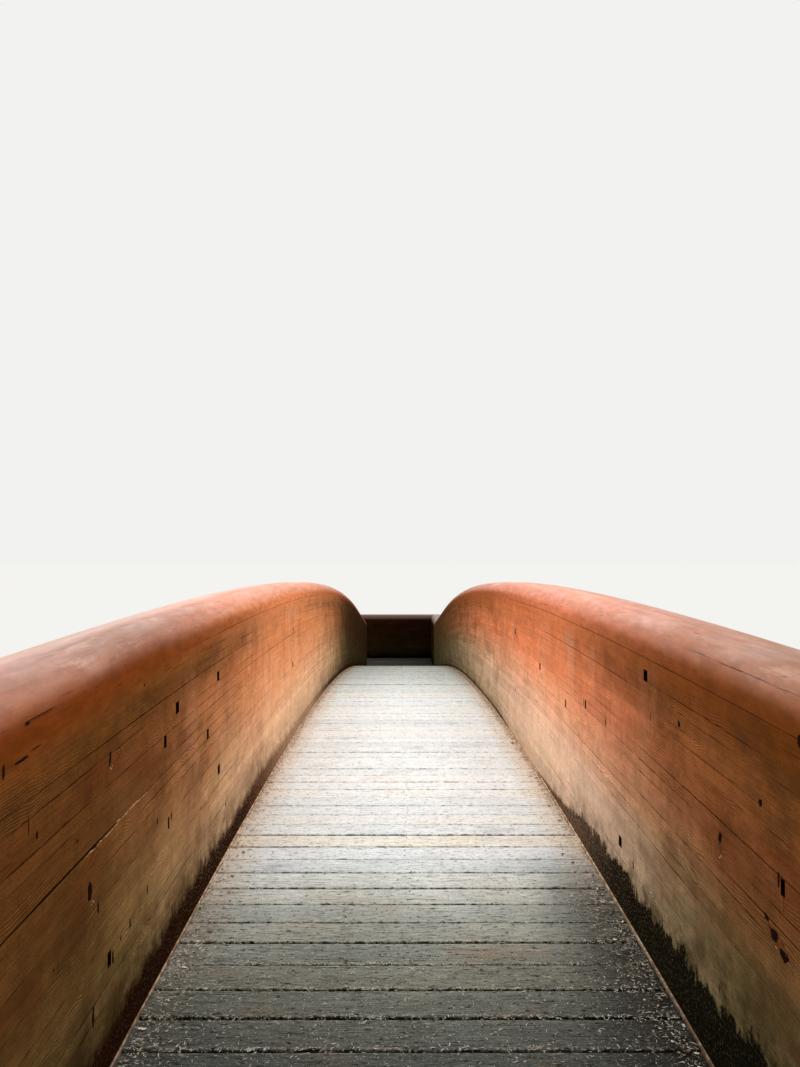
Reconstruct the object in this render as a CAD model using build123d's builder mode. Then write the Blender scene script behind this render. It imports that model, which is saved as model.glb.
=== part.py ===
"""Arched wooden footbridge: two curved laminated girders carry a plank deck and are its parapets.

The bridge runs along Y and its arch peaks at Y = 0. X is across it, Z is up from the ground under
the abutments. At each end the deck meets a level landing that opens to the -X side.
"""

from build123d import *
import math
import os

os.makedirs("parts", exist_ok=True)

# Arch line: the walking surface, an arc over the crest with a straight slope at each end
arch_radius = 76200.0
arc_half = 10800.0
span_half = 15240.0

# Girders, which stand above the walking surface as parapets
walk_width = 1524.0
girder_thickness = 292.0
girder_depth = 1524.0
parapet_height = 1055.0
crown_round = 100.0

# Deck on its stringers and floor beams
plank_thickness = 64.0
plank_gap = 9.0
bay_count = 10
strip_width = 5.0
strip_proud = 3.0
stringer_width = 89.0
stringer_depth = 184.0
stringer_inset = 60.0
stringer_gap = 4.0
beam_width = 140.0
beam_depth = 191.0
seat_gap = 0.3

# Steel beam hangers and bearing shoes
hanger_plate = 8.0
hanger_back_flange = 70.0
hanger_back_rise = 90.0
hanger_reach = 110.0
hanger_side_height = 150.0
shoe_plate = 19.0
shoe_side_plate = 12.0
shoe_side_height = 180.0
bearing_length = 450.0

# Landings, one at each end
landing_length = 1829.0
joist_width = 38.0
joist_depth = 235.0
joist_count = 6
end_round = 20.0
end_joint = 3.0

# Concrete abutments
abutment_height = 600.0
plinth_height = 30.0
plinth_margin = 40.0
seat_front = 120.0
step_joint = 12.0
abutment_side = 50.0
abutment_back = 60.0
concrete_chamfer = 20.0

# Derived from the sizes above
slope = math.asin(arc_half / arch_radius)
girder_below = girder_depth - parapet_height
half_walk = walk_width / 2
outer_face = half_walk + girder_thickness
bay_length = 2 * span_half / bay_count
stringer_top = plank_thickness
stringer_bottom = stringer_top + stringer_depth
beam_top = stringer_bottom + seat_gap
beam_bottom = beam_top + beam_depth
seat_level = abutment_height
bearing_level = seat_level + plinth_height + shoe_plate


def height_above_centre(offset, y):
    """Height over the arc's centre of the line that runs offset above the walking surface."""
    radius = arch_radius + offset
    arc_reach = radius * math.sin(slope)
    if abs(y) <= arc_reach:
        return math.sqrt(radius**2 - y**2)
    return radius * math.cos(slope) - (abs(y) - arc_reach) * math.tan(slope)


centre_level = bearing_level - height_above_centre(-girder_below, span_half - bearing_length)


def level_at(offset, y):
    """Z of the line that runs offset above the walking surface, at y along the bridge."""
    return centre_level + height_above_centre(offset, y)


def parallel_line(offset, start, end):
    """Draw the line that runs offset above the walking surface, from start to end."""
    arc_reach = (arch_radius + offset) * math.sin(slope)
    ends = sorted((start, end))
    inner = [y for y in (-arc_reach, arc_reach) if ends[0] < y < ends[1]]
    stops = [ends[0], *inner, ends[1]]
    for low, high in zip(stops, stops[1:]):
        middle = (low + high) / 2
        first = (low, level_at(offset, low))
        last = (high, level_at(offset, high))
        if abs(middle) < arc_reach:
            ThreePointArc(first, (middle, level_at(offset, middle)), last)
        else:
            Line(first, last)


def parallel_band(upper, lower, start, end):
    """Draw the closed outline between two lines parallel to the walking surface, ends plumb."""
    parallel_line(upper, start, end)
    parallel_line(lower, start, end)
    for y in (start, end):
        Line((y, level_at(upper, y)), (y, level_at(lower, y)))


def slope_plane(x, y):
    """Plane square to X at x, its Y axis square to the walking surface at y along the bridge."""
    lean = math.asin(y / arch_radius) if abs(y) < arc_half else math.copysign(slope, y)
    return Plane(
        origin=(x, y, level_at(0, y)),
        x_dir=(0, math.cos(lean), -math.sin(lean)),
        z_dir=(1, 0, 0),
    )


def save(part, name):
    part.label = name
    export_step(part, f"parts/{name}.step")


landing_level = level_at(0, span_half)
wall_top = level_at(parapet_height, span_half)
shelf_level = landing_level - plank_thickness - joist_depth
landing_end = span_half + landing_length
bay_stops = [-span_half + bay_length * i for i in range(bay_count + 1)]
beam_stops = bay_stops[1:-1]


# Girders: curved timbers with a rounded crown and a level cut over each bearing
def girder(inner_x, outward):
    with BuildPart() as timber:
        with BuildSketch(Plane.YZ.offset(inner_x)):
            with BuildLine():
                parallel_line(parapet_height, -span_half, span_half)
                parallel_line(-girder_below, bearing_length - span_half, span_half - bearing_length)
                for end in (-1, 1):
                    toe = (end * span_half, bearing_level)
                    Line((end * span_half, wall_top), toe)
                    Line(toe, (end * (span_half - bearing_length), bearing_level))
            make_face()
        extrude(amount=outward * girder_thickness)
        lengthwise = [e for e in timber.edges() if abs(e.tangent_at(0.5).X) < 0.5]
        crown = [
            e for e in lengthwise
            if abs((e @ 0.5).Z - level_at(parapet_height, (e @ 0.5).Y)) < 1
        ]
        fillet(crown, crown_round)
    return timber.part


save(girder(-half_walk, -1), "girder_left")
save(girder(half_walk, 1), "girder_right")


# Deck: one slab of planks in each bay, with a thin upstanding strip along both edges
plank_end = half_walk - strip_width
for number, (start, end) in enumerate(zip(bay_stops, bay_stops[1:]), 1):
    with BuildPart() as deck_bay:
        with BuildSketch(Plane.YZ.offset(-plank_end)):
            with BuildLine():
                parallel_band(0, -plank_thickness, start + plank_gap / 2, end - plank_gap / 2)
            make_face()
        extrude(amount=2 * plank_end)
    save(deck_bay.part, f"deck_bay_{number}")

for side, x in (("left", -half_walk), ("right", half_walk - strip_width)):
    with BuildPart() as edge_strip:
        with BuildSketch(Plane.YZ.offset(x)):
            with BuildLine():
                parallel_band(strip_proud, -plank_thickness, -span_half, span_half)
            make_face()
        extrude(amount=strip_width)
    save(edge_strip.part, f"deck_edge_strip_{side}")


# Stringers: three lines of timbers cut to the arch, butted over the floor beams
outer_stringer = half_walk - stringer_inset - stringer_width / 2
for name, x in (("left", -outer_stringer), ("middle", 0), ("right", outer_stringer)):
    with BuildPart() as stringer:
        for start, end in zip(bay_stops, bay_stops[1:]):
            with BuildSketch(Plane.YZ.offset(x - stringer_width / 2)):
                with BuildLine():
                    low = start + stringer_gap / 2
                    high = end - stringer_gap / 2
                    parallel_band(-stringer_top, -stringer_bottom, low, high)
                make_face()
            extrude(amount=stringer_width)
    save(stringer.part, f"stringer_{name}")


# Floor beams between the girders, square to the deck
beam_half = half_walk - hanger_plate - end_joint
beam_middle = -(beam_top + beam_bottom) / 2
for number, y in enumerate(beam_stops, 1):
    with BuildPart() as floor_beam:
        with BuildSketch(slope_plane(-beam_half, y)):
            with Locations((0, beam_middle)):
                Rectangle(beam_width, beam_depth)
        extrude(amount=2 * beam_half)
    save(floor_beam.part, f"floor_beam_{number}")


# Beam hangers: a steel U on a back plate, against the inner face of a girder
back_height = beam_depth + hanger_plate + hanger_back_rise
back_foot = -beam_bottom - hanger_plate
for side, x, inward in (("left", -half_walk, 1), ("right", half_walk, -1)):
    with BuildPart() as beam_hangers:
        for y in beam_stops:
            with BuildSketch(slope_plane(x, y)):
                with Locations((0, back_foot)):
                    Rectangle(
                        beam_width + 2 * hanger_back_flange,
                        back_height,
                        align=(Align.CENTER, Align.MIN),
                    )
            extrude(amount=inward * hanger_plate)
            with BuildSketch(slope_plane(x, y)):
                with Locations((0, back_foot)):
                    Rectangle(
                        beam_width + 2 * hanger_plate,
                        hanger_side_height + hanger_plate,
                        align=(Align.CENTER, Align.MIN),
                    )
                with Locations((0, -beam_bottom)):
                    Rectangle(
                        beam_width,
                        hanger_side_height,
                        align=(Align.CENTER, Align.MIN),
                        mode=Mode.SUBTRACT,
                    )
            extrude(amount=inward * hanger_reach)
    save(beam_hangers.part, f"beam_hangers_{side}")


# Ends: everything beyond a girder's bearing is made at the far end and mirrored for the near end
def save_end(part, name):
    save(part, f"{name}_far")
    save(mirror(part, about=Plane.XZ), f"{name}_near")


# Bearing shoes: a base plate on the abutment's plinth and a side plate up each face of the girder
girder_middle = half_walk + girder_thickness / 2
shoe_width = girder_thickness + 2 * shoe_side_plate
with BuildPart() as bearing_shoes:
    with BuildSketch(Plane.XZ.offset(-span_half)):
        for x in (-girder_middle, girder_middle):
            with Locations((x, bearing_level - shoe_plate)):
                Rectangle(shoe_width, shoe_plate + shoe_side_height, align=(Align.CENTER, Align.MIN))
            with Locations((x, bearing_level)):
                Rectangle(
                    girder_thickness,
                    shoe_side_height,
                    align=(Align.CENTER, Align.MIN),
                    mode=Mode.SUBTRACT,
                )
    extrude(amount=bearing_length)
save_end(bearing_shoes.part, "bearing_shoes")


# Deck sill: a timber across the abutment's seat, its top cut to the slope of the stringers
sill_half = half_walk - shoe_side_plate - end_joint
with BuildPart() as deck_sill:
    with BuildSketch(Plane.YZ.offset(-sill_half)):
        with BuildLine():
            sill_start = span_half - beam_width
            Polyline(
                (sill_start, level_at(-beam_top, sill_start)),
                (sill_start, seat_level),
                (span_half, seat_level),
                (span_half, level_at(-beam_top, span_half)),
                close=True,
            )
        make_face()
    extrude(amount=2 * sill_half)
save_end(deck_sill.part, "deck_sill")


# Landing floor, out to the girder's outer face on the open side
with BuildPart() as landing_floor:
    with BuildSketch(Plane.XY.offset(landing_level - plank_thickness)):
        with Locations((-outer_face, span_half)):
            Rectangle(
                outer_face + half_walk,
                landing_length,
                align=(Align.MIN, Align.MIN),
            )
    extrude(amount=plank_thickness)
save_end(landing_floor.part, "landing_floor")


# Landing joists on the abutment's shelf
shelf_start = span_half + step_joint
joist_length = landing_end - shelf_start
joist_spacing = (outer_face + half_walk - joist_width) / (joist_count - 1)
with BuildPart() as landing_joists:
    with BuildSketch(Plane.XY.offset(shelf_level)):
        for i in range(joist_count):
            with Locations((-outer_face + i * joist_spacing, shelf_start)):
                Rectangle(joist_width, joist_length, align=(Align.MIN, Align.MIN))
    extrude(amount=joist_depth)
save_end(landing_joists.part, "landing_joists")


# Landing walls: the girder's section again, mitred where the side wall meets the end wall
mitre = Plane(origin=(half_walk, landing_end, shelf_level), z_dir=(1, -1, 0))


def wall_section(width):
    Rectangle(width, wall_top - shelf_level, align=(Align.MIN, Align.MIN))


with BuildPart() as side_wall:
    with BuildSketch(Plane.XZ.offset(-span_half)):
        with Locations((half_walk, shelf_level)):
            wall_section(girder_thickness)
    extrude(amount=-(landing_length + girder_thickness))
    fillet(side_wall.edges().filter_by(Axis.Y).group_by(Axis.Z)[-1], crown_round)
    split(bisect_by=mitre, keep=Keep.TOP)
save_end(side_wall.part, "landing_side_wall")

with BuildPart() as end_wall:
    with BuildSketch(Plane.YZ.offset(-outer_face)):
        with Locations((landing_end, shelf_level)):
            wall_section(girder_thickness)
    extrude(amount=2 * outer_face)
    fillet(end_wall.edges().filter_by(Axis.X).group_by(Axis.Z)[-1], crown_round)
    fillet(end_wall.faces().sort_by(Axis.X)[0].edges().group_by(Axis.Z)[1:], end_round)
    split(bisect_by=mitre, keep=Keep.BOTTOM)
save_end(end_wall.part, "landing_end_wall")


# Abutment: a stepped block with a seat and two plinths for the girders and a shelf for the landing
abutment_half = outer_face + abutment_side
seat_start = span_half - bearing_length - seat_front
with BuildPart() as abutment:
    with BuildSketch(Plane.YZ.offset(-abutment_half)):
        with BuildLine():
            Polyline(
                (seat_start, 0),
                (seat_start, seat_level),
                (shelf_start, seat_level),
                (shelf_start, shelf_level),
                (landing_end + girder_thickness + abutment_back, shelf_level),
                (landing_end + girder_thickness + abutment_back, 0),
                close=True,
            )
        make_face()
    extrude(amount=2 * abutment_half)
    chamfer(abutment.faces().sort_by(Axis.Y)[0].edges().group_by(Axis.Z)[-1], concrete_chamfer)
    with BuildSketch(Plane.XY.offset(seat_level)):
        for x in (-girder_middle, girder_middle):
            with Locations((x, span_half - bearing_length - plinth_margin)):
                Rectangle(
                    shoe_width,
                    bearing_length + plinth_margin,
                    align=(Align.CENTER, Align.MIN),
                )
    extrude(amount=plinth_height)
save_end(abutment.part, "abutment")
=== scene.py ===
import math
import random
from itertools import product

import bmesh
import bpy
import numpy as np
from mathutils import Matrix, Vector, noise


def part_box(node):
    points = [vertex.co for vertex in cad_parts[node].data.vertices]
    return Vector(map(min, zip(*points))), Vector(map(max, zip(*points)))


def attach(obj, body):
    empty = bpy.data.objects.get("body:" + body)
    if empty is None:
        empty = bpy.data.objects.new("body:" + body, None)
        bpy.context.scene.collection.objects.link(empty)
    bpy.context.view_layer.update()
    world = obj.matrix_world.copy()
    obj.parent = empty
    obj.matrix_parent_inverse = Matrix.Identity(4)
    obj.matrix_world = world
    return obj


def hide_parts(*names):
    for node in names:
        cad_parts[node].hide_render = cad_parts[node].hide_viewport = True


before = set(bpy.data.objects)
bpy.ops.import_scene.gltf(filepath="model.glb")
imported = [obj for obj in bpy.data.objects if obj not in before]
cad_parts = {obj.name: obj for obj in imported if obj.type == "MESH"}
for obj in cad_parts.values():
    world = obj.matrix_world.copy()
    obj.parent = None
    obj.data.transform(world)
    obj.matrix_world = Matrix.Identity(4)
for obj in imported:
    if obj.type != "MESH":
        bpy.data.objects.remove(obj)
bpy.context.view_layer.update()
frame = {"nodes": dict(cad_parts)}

# The arched footbridge, dressed: laminated girders and landing walls with open seams and slots,
# separate planks, sawn framing, bolted steelwork and cast abutments. Metres, in the CAD frame.

nodes = frame["nodes"]

# Arch line of the walking surface, as in the part's source
arch_radius = 76.2
arc_half = 10.8
parapet_height = 1.055
girder_depth = 1.524
crown_round = 0.1
lamination = 0.0381
board_length = 3.2
plank_thickness = 0.064
landing_length = 1.829
bay_count = 10

# Places read from the frame
girder_low, girder_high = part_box("girder_right")
half_walk = girder_low.x
girder_thickness = girder_high.x - girder_low.x
span_half = girder_high.y
bearing_level = girder_low.z
landing_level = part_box("landing_floor_far")[1].z
landing_end = span_half + landing_length
wall_foot, wall_top = [shaded_corner.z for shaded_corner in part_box("landing_end_wall_far")]
strip_low, strip_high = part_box("deck_edge_strip_left")
strip_width = strip_high.x - strip_low.x
slope = math.asin(arc_half / arch_radius)
centre_level = girder_high.z - parapet_height - arch_radius


def level(offset, y):
    """Z of the line that runs offset above the walking surface, at y along the bridge."""
    radius = arch_radius + offset
    reach = radius * math.sin(slope)
    if abs(y) <= reach:
        return centre_level + math.sqrt(radius**2 - y**2)
    return centre_level + radius * math.cos(slope) - (abs(y) - reach) * math.tan(slope)


def along_deck(distance):
    """Y, Z and lean of the walking surface at a distance along it from the crest."""
    arc_length = arch_radius * slope
    lean = max(-slope, min(slope, distance / arch_radius))
    beyond = distance - math.copysign(min(abs(distance), arc_length), distance)
    y = arch_radius * math.sin(lean) + beyond * math.cos(slope)
    z = centre_level + arch_radius * math.cos(lean) - abs(beyond) * math.sin(slope)
    return y, z, lean


def up_and_forward(lean):
    return Vector((0, math.sin(lean), math.cos(lean))), Vector((0, math.cos(lean), -math.sin(lean)))


def directions_at(y):
    """Up and forward along the girders, at y along the bridge."""
    return up_and_forward(max(-slope, min(slope, math.asin(y / arch_radius))))


def on_deck(distance, x):
    """A point of the walking surface, and up and forward there."""
    y, z, lean = along_deck(distance)
    return Vector((x, y, z)), *up_and_forward(lean)


def smooth_step(low, high, value):
    share = max(0.0, min(1.0, (value - low) / (high - low)))
    return share * share * (3 - 2 * share)


# Shader building
def linear(colour):
    """Linear values of a screen colour such as 8a5a35. A grey is one number, and three pass as they are."""
    if isinstance(colour, str):
        values = [int(colour[i:i + 2], 16) / 255 for i in (0, 2, 4)]
        return tuple(v / 12.92 if v <= 0.04045 else ((v + 0.055) / 1.055) ** 2.4 for v in values)
    return colour if isinstance(colour, tuple) else (colour,) * 3


def operator(operation, swapped=False):
    def apply(self, other):
        first, second = (other, self) if swapped else (self, other)
        return self.shader.math(operation, first, second)
    return apply


class Value:
    """What a node gives. Arithmetic on it adds math nodes."""

    __add__, __radd__ = operator("ADD"), operator("ADD", True)
    __sub__, __rsub__ = operator("SUBTRACT"), operator("SUBTRACT", True)
    __mul__, __rmul__ = operator("MULTIPLY"), operator("MULTIPLY", True)
    __truediv__ = operator("DIVIDE")

    def __init__(self, shader, socket):
        self.shader = shader
        self.socket = socket

    def __abs__(self):
        return self.shader.math("ABSOLUTE", self)


class Shader:
    """The node tree of a material or the world, built by short calls that take values or constants."""

    def __init__(self, owner):
        owner.use_nodes = True
        self.owner = owner
        self.tree = owner.node_tree
        self.tree.nodes.clear()

    def add(self, kind, *values, **named):
        """A node whose inputs take the values in order. Names with a capital are inputs, others settings."""
        made = self.tree.nodes.new("ShaderNode" + kind)
        for key, value in named.items():
            if key[0].isupper():
                self.feed(made.inputs[key], value)
            else:
                setattr(made, key, value)
        for socket, value in zip(made.inputs, values):
            self.feed(socket, value)
        return made

    def value(self, kind, *values, **named):
        return Value(self, self.add(kind, *values, **named).outputs[0])

    def feed(self, socket, value):
        if isinstance(value, Value):
            self.tree.links.new(value.socket, socket)
        else:
            socket.default_value = (*linear(value), 1.0) if socket.type == "RGBA" else value

    def math(self, operation, first, second=0.0):
        return self.value("Math", first, second, operation=operation)

    def vector(self, x, y, z):
        return self.value("CombineXYZ", x, y, z)

    def split(self, vector):
        return [Value(self, socket) for socket in self.add("SeparateXYZ", vector).outputs]

    def position(self):
        return Value(self, self.add("TexCoord").outputs["Object"])

    def attribute(self, name, output="Fac"):
        return Value(self, self.add("Attribute", attribute_name=name).outputs[output])

    def noise(self, vector, scale=1.0, detail=3.0, roughness=0.55):
        return self.value("TexNoise", Vector=vector, Scale=scale, Detail=detail, Roughness=roughness)

    def random(self, x, y):
        return self.value("TexWhiteNoise", noise_dimensions="2D", Vector=self.vector(x, y, 0.0))

    def span(self, value, low, high, to_low=0.0, to_high=1.0, smooth=False):
        """Carry a value from one range to another, held at its ends."""
        return self.value("MapRange", value, low, high, to_low, to_high, clamp=True,
                          interpolation_type="SMOOTHSTEP" if smooth else "LINEAR")

    def ramp(self, value, stops):
        made = self.add("ValToRGB", value)
        elements = made.color_ramp.elements
        while len(elements) < len(stops):
            elements.new(1.0)
        for element, (place, colour) in zip(elements, stops):
            element.position = place
            element.color = (*linear(colour), 1.0)
        return Value(self, made.outputs[0])

    def profile(self, bridge, stops, wander=1.2):
        """A value that changes along the bridge by stops of (y, value). Its course wavers a little."""
        low, high = stops[0][0], stops[-1][0]
        moved = bridge + (self.drift - 0.5) * wander
        return self.ramp(self.span(moved, low, high), [((y - low) / (high - low), v) for y, v in stops])

    def mix(self, share, first, second, blend="MIX"):
        made = self.add("Mix", share, data_type="RGBA", blend_type=blend)
        self.feed(made.inputs[6], first)
        self.feed(made.inputs[7], second)
        return Value(self, made.outputs[2])

    def over(self, share, colour, blend="MIX"):
        """Lay a colour over the material's own."""
        self.colour = self.mix(share, self.colour, colour, blend)

    def shade(self, factor):
        """Multiply the material's colour by a value."""
        self.over(1.0, self.vector(factor, factor, factor), "MULTIPLY")

    def finish(self, roughness, height=None, depth=0.0, strength=0.0, metallic=0.0, specular=0.5):
        surface = self.add("BsdfPrincipled", Roughness=roughness, Metallic=metallic,
                           **{"Base Color": self.colour, "Specular IOR Level": specular})
        if height:
            bump = self.value("Bump", Height=height, Distance=depth, Strength=strength)
            self.feed(surface.inputs["Normal"], bump)
        self.add("OutputMaterial", Value(self, surface.outputs[0]))
        return self.owner


def new_material(name):
    return Shader(bpy.data.materials.new(name))


# Stained laminated timber. The attribute place holds the distance along the timber, the height over
# the walking surface and the depth across it; seam holds how far a glue line has opened.
zone_low = -0.47
zone_high = 1.07


def laminated_timber(name, look, foot=True, end_grain=False, shadow=1.0):
    """look holds one girder's colours by height and what changes along the bridge."""
    s = new_material(name)
    span = s.span
    along, height, across = s.split(s.attribute("place", "Vector"))
    bridge = s.split(s.position())[1]

    def stretched(per_along, per_height, per_across, detail, roughness=0.55, offset=0.0):
        place = s.vector(along * per_along, height * per_height + offset, across * per_across)
        return s.noise(place, 1.0, detail, roughness)

    def eased(value, share):
        """The value where share is 1, and 1 where share is 0."""
        return 1.0 + (value - 1.0) * share

    def by_height(stops):
        return s.ramp(zone, [((h - zone_low) / (zone_high - zone_low), colour) for h, colour in stops])

    s.drift = s.noise(s.vector(bridge * 0.5, height * 1.6, across))

    # Height zones, from the dull foot to the crown, in a shaded damp copy and a lit bleached copy of the
    # stain: their mix along the bridge paints light over the crest and shade towards the ends, on top of real
    # bleaching
    moved = (stretched(0.9, 3, 1, 4) - 0.5) * span(height, 0.88, 0.95, 0.20, 0.03)
    zone = span(height + moved, zone_low, zone_high)
    bleach_and_light = s.profile(bridge, look["bleach_and_light"])
    for key, low, high in (("band_light_and_bleach", 0.72, 0.84), ("crown_light_and_bleach", 0.965, 1)):
        bleach_and_light = bleach_and_light + (s.profile(bridge, look[key], 0.5) - bleach_and_light) * span(height, low, high)
    # Outer faces take a fixed middle share of the lit copy
    outer = span(across, 0.12, 0.27) * span(height, 0.955, 1.04, 1, 0)
    bleach_and_light = bleach_and_light + (0.34 - bleach_and_light) * outer
    s.colour = s.mix(bleach_and_light, by_height(look["shaded_and_damp"]), by_height(look["lit_and_bleached"]))

    # The crown's stain is whole and smooth; below a wavering line it is worn down to the grain
    fray = stretched(1.7, 6, 0, 5, 0.65) - 0.5
    bare = span(height + fray * 0.26, 0.86, 0.94, 1, 0, smooth=True)
    crowned = 1.0 - bare
    bare_in_shade_and_damp = bare * (1.0 - bleach_and_light * 0.8)

    # Timbers laid end to end in each lamination, every one a little different
    layers = (parapet_height - height) / lamination
    layer = s.math("FLOOR", layers)
    boards = (along + s.random(layer, 3.7) * 5.0) / board_length
    tone = s.random(layer, s.math("FLOOR", boards))
    s.shade(eased(span(tone, 0, 1, 0.87, 1.15), span(bare, 0, 1, 0.3, 1) * span(bleach_and_light, 0, 1, 1, 0.5)))

    # Grain: long fibres all over, and wavy rings in patches, drawn out in some boards and looped in others
    fibre = stretched(3, 150, 150, 4, 0.6)
    lines = stretched(1.2, 330, 330, 2, 0.5)
    sway = s.noise(s.vector(along * 2.7, height * 6.0, across + tone * 9.0), 1.0, 2.5)
    rings = height * 140.0 + sway * span(tone, 0.45, 0.9, 8, 30)
    figure = s.math("POWER", abs(s.math("SINE", rings * math.pi)), 0.7)
    patch = s.noise(s.vector(along * 1.5, height * 5.0, tone * 2.0))
    patch = span(patch, 0.48, 0.58, 0, 1, smooth=True) * bare
    figured = 1.0 + patch * (span(figure, 0.76, 1, 0, 0.46) - span(figure, 0, 0.5, 0.5, 0))
    smoothness = span(bare, 0, 1, 0.25, 1) - bleach_and_light * 0.40
    grain = (span(fibre, 0.3, 0.7, 0.82, 1.16) * span(lines, 0.3, 0.7, 0.90, 1.08) * figured
             * span(stretched(170, 260, 260, 2, 0.6), 0.3, 0.7, 0.72, 1.28)
             * span(stretched(16, 24, 24, 4, 0.7), 0.3, 0.7, 0.80, 1.20))
    s.shade(eased(grain, smoothness))

    # Short dark splits along the grain
    split = span(stretched(7, 190, 190, 2, 0.5), 0.68, 0.75) * smoothness
    s.over(split * 0.75, "2a140a")

    # Brown clouds where the stain has gone, old runs of water, and pale runs where the sun has been
    s.over(span(stretched(2.3, 3.8, 1, 5, 0.68), 0.48, 0.64, 0, 0.62) * bare_in_shade_and_damp, "47301a")
    s.over(span(stretched(1.6, 4.2, 1, 4, 0.6, 33), 0.50, 0.64, 0, 0.42) * bare_in_shade_and_damp, "662e12")
    s.over(span(stretched(7, 1.6, 1, 5, 0.7), 0.50, 0.72, 0, 0.24) * bare, "6a4426")
    s.over(span(stretched(4, 1.4, 1, 4, 0.6, 9), 0.52, 0.72, 0, 0.22) * bare * bleach_and_light, "ffd9bc")
    olive = s.ramp(bleach_and_light, [(0, 1), (0.12, (0.96, 1, 0.78)), (0.40, (0.98, 1, 0.86)), (0.75, 1)])
    s.over(span(height, 0.35, 0.75, 1, 0), s.mix(1.0, s.colour, olive, "MULTIPLY"))
    scuff = span(stretched(14, 60, 60, 4, 0.65, 4), 0.60, 0.72, 0, 0.5)
    s.over(scuff * span(bare, 0, 1, 0.30, 0.6), "5a3a22")

    # Painted shade: the far part of the bridge is darkened, most on the faces and less on the crown
    far = s.profile(bridge, look["far"], 0.6) * span(height, 0.93, 0.99, 1, 0.35) * (1.0 - outer)
    s.over(far, look["far_shade_colour"])

    # Small cracks, rubbed places and pale scuffs on the crown; the pale scuffs near its top are partly
    # painted sheen
    skin = stretched(9, 30, 30, 4, 0.65)
    s.shade(eased(span(skin, 0.40, 0.60, 0.84, 1.12), crowned * 0.8))
    worn = span(stretched(3.6, 15, 15, 4, 0.7, 5), 0.54, 0.68, 0, 0.34)
    s.over(worn * span(height, 0.99, 1.04), look["scuff"])
    # Painted highlight over the outer half of the crown's top
    highlight_share, highlight_colour = look["edge"]
    s.over(span(across, 0.125, 0.170, 0, highlight_share) * span(height, 0.99, 1.04), highlight_colour)
    scratch = span(stretched(5, 110, 110, 3, 0.6, 21), 0.67, 0.71) * crowned
    s.over(scratch * 0.7, "4a2415")

    # Damp and mildew at the foot of the inner face, ragged above and mottled beyond
    blackish, brownish, pale_specks, mottled, dusted = look["mildew"]
    top = s.profile(bridge, look["foot"], 0.2)
    border = top * span(stretched(7, 6, 0, 6, 0.75), 0.28, 0.72, 0.6, 1.4)
    ragged = (stretched(52, 20, 0, 4, 0.75) - 0.5) * span(top, 0, 0.1, 0.01, 0.075)
    gap = border - height + ragged
    inside = s.math("LESS_THAN", across, 0.001) * s.math("GREATER_THAN", height, -0.02) * float(foot)
    strength = s.profile(bridge, look["foot_strength"], 0.5)
    dust = stretched(60, 60, 0, 4, 0.7)
    mottle = span(stretched(8, 9, 0, 4, 0.75), *look["mottle"])
    mottle = s.math("MAXIMUM", mottle, span(dust, 0.50, 0.62, 0, 0.7))
    above = span(gap, -look["reach"], 0, 0, 0.95) * mottle * span(bleach_and_light, 0, 1, 1, 0.5) * strength
    s.over(above * inside * span(top, 0, 0.03), mottled)
    mould = s.mix(span(dust, 0.35, 0.65), blackish, brownish)
    dusty = span(stretched(45, 26, 0, 3, 0.75, 3), 0.36, 0.62, 0.15, 1.15)
    mould = s.mix(span(bleach_and_light, 0.76, 1) * dusty, mould, dusted)
    fleck = span(stretched(150, 110, 0, 2), 0.58, 0.68) * span(bleach_and_light, 0, 1, 0.45, 0.9)
    mould = s.mix(fleck, mould, s.mix(bleach_and_light, pale_specks, "b39a80"))
    s.over(span(gap, *look["border"], 0, 0.98, smooth=True) * inside * strength, mould)

    # Hairline glue lines that come and go and board ends, then open seams and slots, dark inside
    waver = (stretched(3.4, 3, 0, 4, 0.72) - 0.5) * 0.20
    nearest = abs(s.math("FRACT", layers + waver + 0.5) - 0.5)
    row = s.math("ROUND", layers)
    course = s.noise(s.vector(along * 0.55, row * 7.3, across), 1.0, 4.0, 0.6)
    present = span(course, 0.50, 0.60) * span(bare, 0, 1, 0.12, 1) * span(bleach_and_light, 0.4, 0.9, 1, 0.6)
    if "crown_line" in look:
        crown_row, low, high = look["crown_line"]
        chosen = s.math("LESS_THAN", abs(row - crown_row), 0.5)
        within = span(bridge, low, low + 0.4) * span(bridge, high - 0.6, high, 1, 0)
        present = s.math("MAXIMUM", present, chosen * within * span(course, 0.3, 0.6, 0.2, 0.95))
    wide = span(stretched(12, 4, 1, 4, 0.7, 3), 0.35, 0.68, 0.45, 2.1)
    hairline = (span(nearest / wide, 0.020, 0.045, 1, 0) * present
                * span(stretched(9, 2, 1, 3), 0.36, 0.52, 0.15, 0.85))
    ends = s.math("FRACT", boards) * board_length
    board_end = s.math("LESS_THAN", ends, 0.0022) * s.math("GREATER_THAN", tone, 0.4) * bare
    dark_line = s.math("MAXIMUM", hairline, board_end * 0.65)
    s.over(dark_line, "22110a")
    s.over(span(s.attribute("seam"), 0.02, 0.25, 0, 0.98), "0d0603")
    if end_grain:
        glue = abs(s.math("SINE", height * (math.pi / lamination)))
        s.over(span(glue, 0, 0.12, 0.7, 0), "1c110a")
    # Painted shade on the landing walls: their inner faces are darkened and their upper parts and crowns
    # greyed
    if shadow < 1.0:
        s.shade(span(across, 0, 0.002, shadow, 1))
        s.over(span(height, 0.93, 0.97, 0, 0.80), "4b4441")

    # The crown keeps a sheen that the face has lost, in long clouds
    sheen = span(height, parapet_height - 0.13, parapet_height - 0.04, 0.92, 0.46, smooth=True)
    roughness = sheen + span(stretched(2.5, 18, 18, 4, 0.6), 0.3, 0.7, -0.14, 0.16)
    relief = fibre * 0.55 - split * 1.2 + patch * figure * 0.5 - hairline
    relief = relief * span(bare, 0, 1, 0.45, 1) + (skin * 1.3 - scratch) * crowned
    gloss = span(height, 0.975, 1.05, 0, 0.15) * (1.0 - dark_line)
    return s.finish(roughness, relief, 0.002, 0.6, specular=gloss)


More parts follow.
